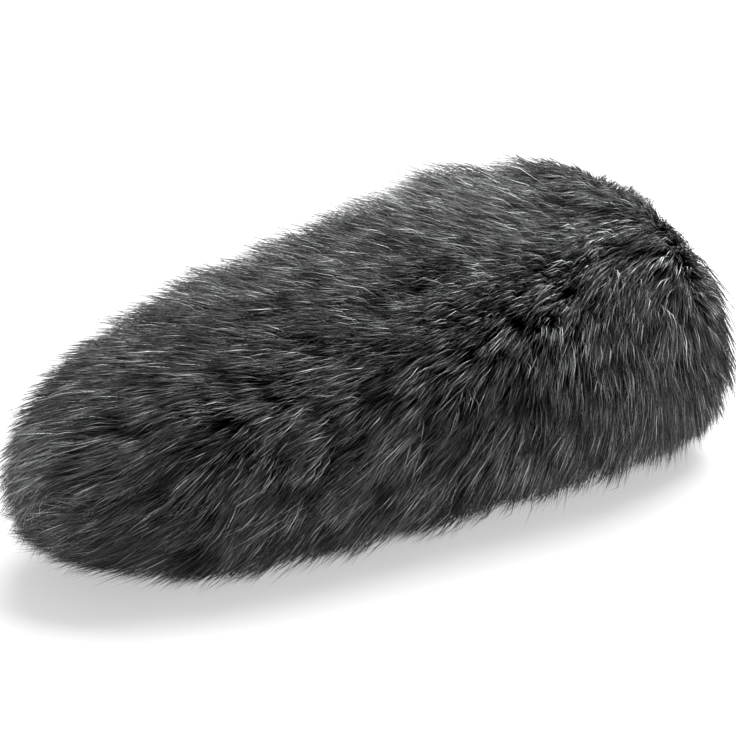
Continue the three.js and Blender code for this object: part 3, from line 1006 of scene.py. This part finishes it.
def make_label():
    """A blank label: one strip folded in half, with its fold to the rear and its ends sewn in the hem."""
    start, fold = LABEL_LOW.x, LABEL_HIGH.x
    middle, half = (LABEL_LOW.z + LABEL_HIGH.z) / 2, (LABEL_HIGH.z - LABEL_LOW.z) / 2
    turn = np.linspace(math.pi / 2, -math.pi / 2, 9)
    bend = np.stack([fold - half + half * np.cos(turn), middle + half * np.sin(turn)], -1)
    straight = np.linspace(start, fold - half, 24)[:-1]
    upper = np.stack([straight, np.full(len(straight), middle + half)], -1)
    lower = np.stack([straight[::-1], np.full(len(straight), middle - half)], -1)
    line = np.concatenate([upper, bend, lower])
    y = np.linspace(LABEL_HIGH.y, LABEL_LOW.y, 33)
    grid = np.stack(np.broadcast_arrays(line[:, :1], y, line[:, 1:]), -1)
    piece = skin_piece("woven_label_blank", grid, LABEL_THICKNESS, label_material())
    on_body(piece, "cover", "label", "woven_label")


# ---- The core: foam, felt end stop, braided liner, rear plate and rubber collar.

LINER_RADIUS = (LINER_HIGH.y - LINER_LOW.y) / 2
LINER_WALL = 0.8 * MM
BORE_RADIUS = LINER_RADIUS - LINER_WALL
CLEARANCE = 0.3 * MM
COLLAR_SLEEVE = 13.5 * MM
FOAM_PITS = 0.35 * MM
FOAM_EDGE = 0.8 * MM
PLATE_HOLE, BOSS_WIDTH, BOSS_SLOPE = 13.8 * MM, 4.3 * MM, 0.3 * MM
PLATE_RECESS, PLATE_RIM, PLATE_SOFTENING = 0.7 * MM, 2.2 * MM, 0.35 * MM
FLANGE_THICKNESS = 2.4 * MM
NECK_RADIUS, BEAD_RADIUS, LIP_RADIUS = 15 * MM, 16.4 * MM, 9.6 * MM
LIP_FOOT, LIP_TOP = 1.6 * MM, 0.4 * MM  # half lengths of a lip along the bore


def section_loop(x, depth, sides):
    """One loop on the cavity surface, with its points at even angles seen from the bore."""
    loop = full_grid(np.array([x]), depth, 720)[0]
    angle = np.unwrap(np.arctan2(loop[:, 2] - BORE_Z, loop[:, 1]))
    even = (even_turns(sides) - angle[0]) % (2 * math.pi) + angle[0]
    return sampled(even, np.append(angle, angle[0] + 2 * math.pi), looped(loop))


def bore_loop(x, radius, sides):
    return turned_grid([(x, radius)], sides)[0]


def face_loops(outer, inner, count):
    """Loops across a flat face, from one loop to another, without the first and last."""
    share = np.linspace(0, 1, count + 2)[1:-1]
    return [outer * (1 - s) + inner * s for s in share]


def pitted(grid, rng):
    """Foam pores: each point sinks by a small random depth."""
    pits = rng.random(grid.shape[:2])
    pits = (pits + np.roll(pits, 1, 0) + np.roll(pits, 1, 1)) / 3
    inward = np.stack([np.zeros(grid.shape[:2]), -grid[..., 1], BORE_Z - grid[..., 2]], -1)
    return grid + unit(inward) * (pits * FOAM_PITS)[..., None]


def make_foam():
    rng = np.random.default_rng(SEED + 5)
    material = foam_material()
    sides = 280
    front, rear = (corner.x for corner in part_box("foam_body"))
    bore = LINER_RADIUS + CLEARANCE
    seat, seat_x = COLLAR_SLEEVE + CLEARANCE, COLLAR_LOW.x - CLEARANCE
    edge = FOAM_EDGE
    skin = [section_loop(x, CORE_DEPTH, sides) for x in np.linspace(front + edge, rear - edge, 176)]
    skin = pitted(np.array(skin), rng)
    rear_rim = section_loop(rear, CORE_DEPTH + edge, sides)
    front_rim = section_loop(front, CORE_DEPTH + edge, sides)
    seat_rear, seat_front = bore_loop(rear, seat, sides), bore_loop(seat_x, seat, sides)
    bore_rear, bore_front = bore_loop(seat_x, bore, sides), bore_loop(front, bore, sides)
    loops = [*skin, rear_rim, *face_loops(rear_rim, seat_rear, 16)]
    loops += [seat_rear, *face_loops(seat_rear, seat_front, 10), seat_front]
    loops += [bore_rear, *face_loops(bore_rear, bore_front, 60), bore_front]
    loops += [*face_loops(bore_front, front_rim, 14), front_rim]
    body = ring_piece("foam_core", np.array(loops), material)
    on_body(body, "core", "foam", "foam_body")
    plug = pitted(full_grid(cap_stations(PLUG_LOW.x, PLUG_HIGH.x - edge, 62), CORE_DEPTH, sides), rng)
    rim = full_grid(np.array([PLUG_HIGH.x]), CORE_DEPTH + edge, sides)[0]
    centre = rim.mean(0)
    loops = [*plug, rim, *face_loops(rim, centre[None].repeat(sides, 0), 14)]
    nose = capped_piece("foam_nose", np.array(loops), material, tip_point(CORE_DEPTH), centre)
    on_body(nose, "core", "foam", "foam_nose_plug")


def make_end_stop():
    outline = rounded([[STOP_LOW.x, 0.2 * MM], [STOP_LOW.x, LINER_RADIUS], [STOP_HIGH.x, LINER_RADIUS],
                       [STOP_HIGH.x, 0.2 * MM]], 0.7 * MM)[5:-5]
    outline = np.concatenate([[[STOP_LOW.x, 0.2 * MM]], outline, [[STOP_HIGH.x, 0.2 * MM]]])
    line = smooth_line(outline, 60)
    first, last = (STOP_LOW.x, 0, BORE_Z), (STOP_HIGH.x, 0, BORE_Z)
    piece = capped_piece("felt_end_stop", turned_grid(line, 96), felt_material(), first, last)
    on_body(piece, "core", "felt", "bore_end_stop")


def make_liner():
    """Braided tube, with the crossing filaments raised on its inner face."""
    outline = rounded([[LINER_LOW.x, BORE_RADIUS + 0.15 * MM], [LINER_HIGH.x, BORE_RADIUS + 0.15 * MM],
                       [LINER_HIGH.x, LINER_RADIUS], [LINER_LOW.x, LINER_RADIUS]], 0.25 * MM, 2)
    line = spaced_outline(outline, 0.9 * MM)[::-1]
    grid = turned_grid(line, 132)
    piece = ring_piece("braided_liner", grid, braid_material())
    on_body(piece, "core", "mesh_liner", "bore_liner")


def make_plate():
    """Moulded plate with a raised rim round its edge and round its hole."""
    sides = 240
    front, rear, floor = PLATE_LOW.x, PLATE_HIGH.x, PLATE_HIGH.x - PLATE_RECESS
    soft, rim, boss = PLATE_SOFTENING, PLATE_RIM, PLATE_HOLE + BOSS_WIDTH
    outside = [(front, soft), (front + soft, 0), (rear - soft, 0), (rear, soft), (rear, rim),
               (floor, rim + soft)]
    inside = [(floor, boss + BOSS_SLOPE), (rear, boss), (rear, PLATE_HOLE + soft), (rear - soft, PLATE_HOLE),
              (front + soft, PLATE_HOLE), (front, PLATE_HOLE + soft)]
    outside = [section_loop(x, CORE_DEPTH + depth, sides) for x, depth in outside]
    inside = [bore_loop(x, radius, sides) for x, radius in inside]
    loops = [*outside, *face_loops(outside[-1], inside[0], 8)]
    loops += [*inside, *face_loops(inside[-1], outside[0], 8)]
    piece = ring_piece("moulded_plate", np.array(loops), plastic_material())
    on_body(piece, "core", "plate", "rear_plate")


def make_collar():
    """Rubber collar: sleeve, flange, beaded neck and three inner grip lips."""
    start, end = COLLAR_LOW.x, COLLAR_HIGH.x
    shoulder, flange = PLATE_HIGH.x + CLEARANCE, COLLAR_HIGH.z - BORE_Z
    flange_end = shoulder + FLANGE_THICKNESS
    sleeve_bore, neck_bore = LINER_RADIUS + CLEARANCE, BORE_RADIUS + 1 * MM
    pitch = (end - flange_end) / 3
    lips = []
    for i in range(3):
        x = flange_end + pitch * (i + 0.5)
        lips += [(x - LIP_FOOT, neck_bore), (x - LIP_TOP, LIP_RADIUS)]
        lips += [(x + LIP_TOP, LIP_RADIUS), (x + LIP_FOOT, neck_bore)]
    bead = [(end, BEAD_RADIUS - 1 * MM), (end - 1 * MM, BEAD_RADIUS), (end - 3 * MM, BEAD_RADIUS)]
    neck = [(end - 4.5 * MM, NECK_RADIUS), (flange_end, NECK_RADIUS)]
    rim = [(flange_end, flange - 0.8 * MM), (flange_end - 0.8 * MM, flange), (shoulder, flange)]
    sleeve = [(shoulder, COLLAR_SLEEVE), (start, COLLAR_SLEEVE)]
    outline = [(start, sleeve_bore), *lips, (end, neck_bore), *bead, *neck, *rim, *sleeve]
    line = spaced_outline(rounded(outline, 0.5 * MM), 1.2 * MM)[::-1]
    piece = ring_piece("rubber_collar", turned_grid(line, 144), rubber_material())
    on_body(piece, "core", "rubber", "entry_collar")


# ---- Stage.


AZIMUTH, ELEVATION = math.radians(-35), math.radians(24)
DISTANCE = 1.422  # from the camera to what it aims at
AIM = np.array([4.36 * MM, 0, 44.3 * MM])
AIM_LEFT, AIM_DOWN = 0.97 * MM, 6.2 * MM
PICTURE_SCALE = 3.623 / MM  # pixels to a metre at that distance
PICTURE_WIDTH = 736
SENSOR_WIDTH = 36.0
FLOOR_HALF_WIDTH = 6.0
LIGHT_PLACE, LIGHT_SIZE, LIGHT_POWER = (0.6, 0.35, 1.2), 1.3, 72


def make_camera():
    level = math.cos(ELEVATION)
    back = np.array([math.sin(AZIMUTH) * level, -math.cos(AZIMUTH) * level, math.sin(ELEVATION)])
    right = np.array([math.cos(AZIMUTH), math.sin(AZIMUTH), 0])
    up = np.cross(back, right)
    data = bpy.data.cameras.new("camera")
    data.sensor_width = SENSOR_WIDTH
    data.lens = SENSOR_WIDTH * PICTURE_SCALE * DISTANCE / PICTURE_WIDTH
    data.clip_start, data.clip_end = 0.05, 20
    camera = in_scene("camera", data)
    place = AIM - AIM_LEFT * right - AIM_DOWN * up + back * DISTANCE
    camera.matrix_world = Matrix([[right[i], up[i], back[i], place[i]] for i in range(3)] + [[0, 0, 0, 1]])
    bpy.context.scene.camera = camera


def make_light():
    data = bpy.data.lights.new("key", "AREA")
    data.size, data.energy = LIGHT_SIZE, LIGHT_POWER
    light = in_scene("key", data)
    light.location = LIGHT_PLACE
    light.rotation_mode = "QUATERNION"
    light.rotation_quaternion = Vector(LIGHT_PLACE).to_track_quat("Z", "Y")


def make_stage():
    """A pale floor that gives off a little light, soft light all round, and one large lamp."""
    n = Nodes("floor", 0.9, 0.1)
    n.shader.inputs["Base Color"].default_value = (0.32, 0.32, 0.32, 1)
    n.shader.inputs["Emission Color"].default_value = (1, 1, 1, 1)
    n.shader.inputs["Emission Strength"].default_value = 0.5
    half = FLOOR_HALF_WIDTH
    corners = [(-half, -half, 0), (half, -half, 0), (half, half, 0), (-half, half, 0)]
    mesh_object("floor", corners, [(0, 1, 2, 3)], n.material)
    world = bpy.data.worlds.new("studio")
    bpy.context.scene.world = world
    world.use_nodes = True
    background = world.node_tree.nodes["Background"]
    background.inputs["Color"].default_value = (1, 1, 1, 1)
    background.inputs["Strength"].default_value = 0.8
    make_light()
    bpy.context.scene.view_settings.view_transform = "Standard"


make_camera()
make_fur()
make_backing()
make_lining()
make_tapes()
make_hem()
make_elastic()
make_label()
make_foam()
make_end_stop()
make_liner()
make_plate()
make_collar()
make_stage()
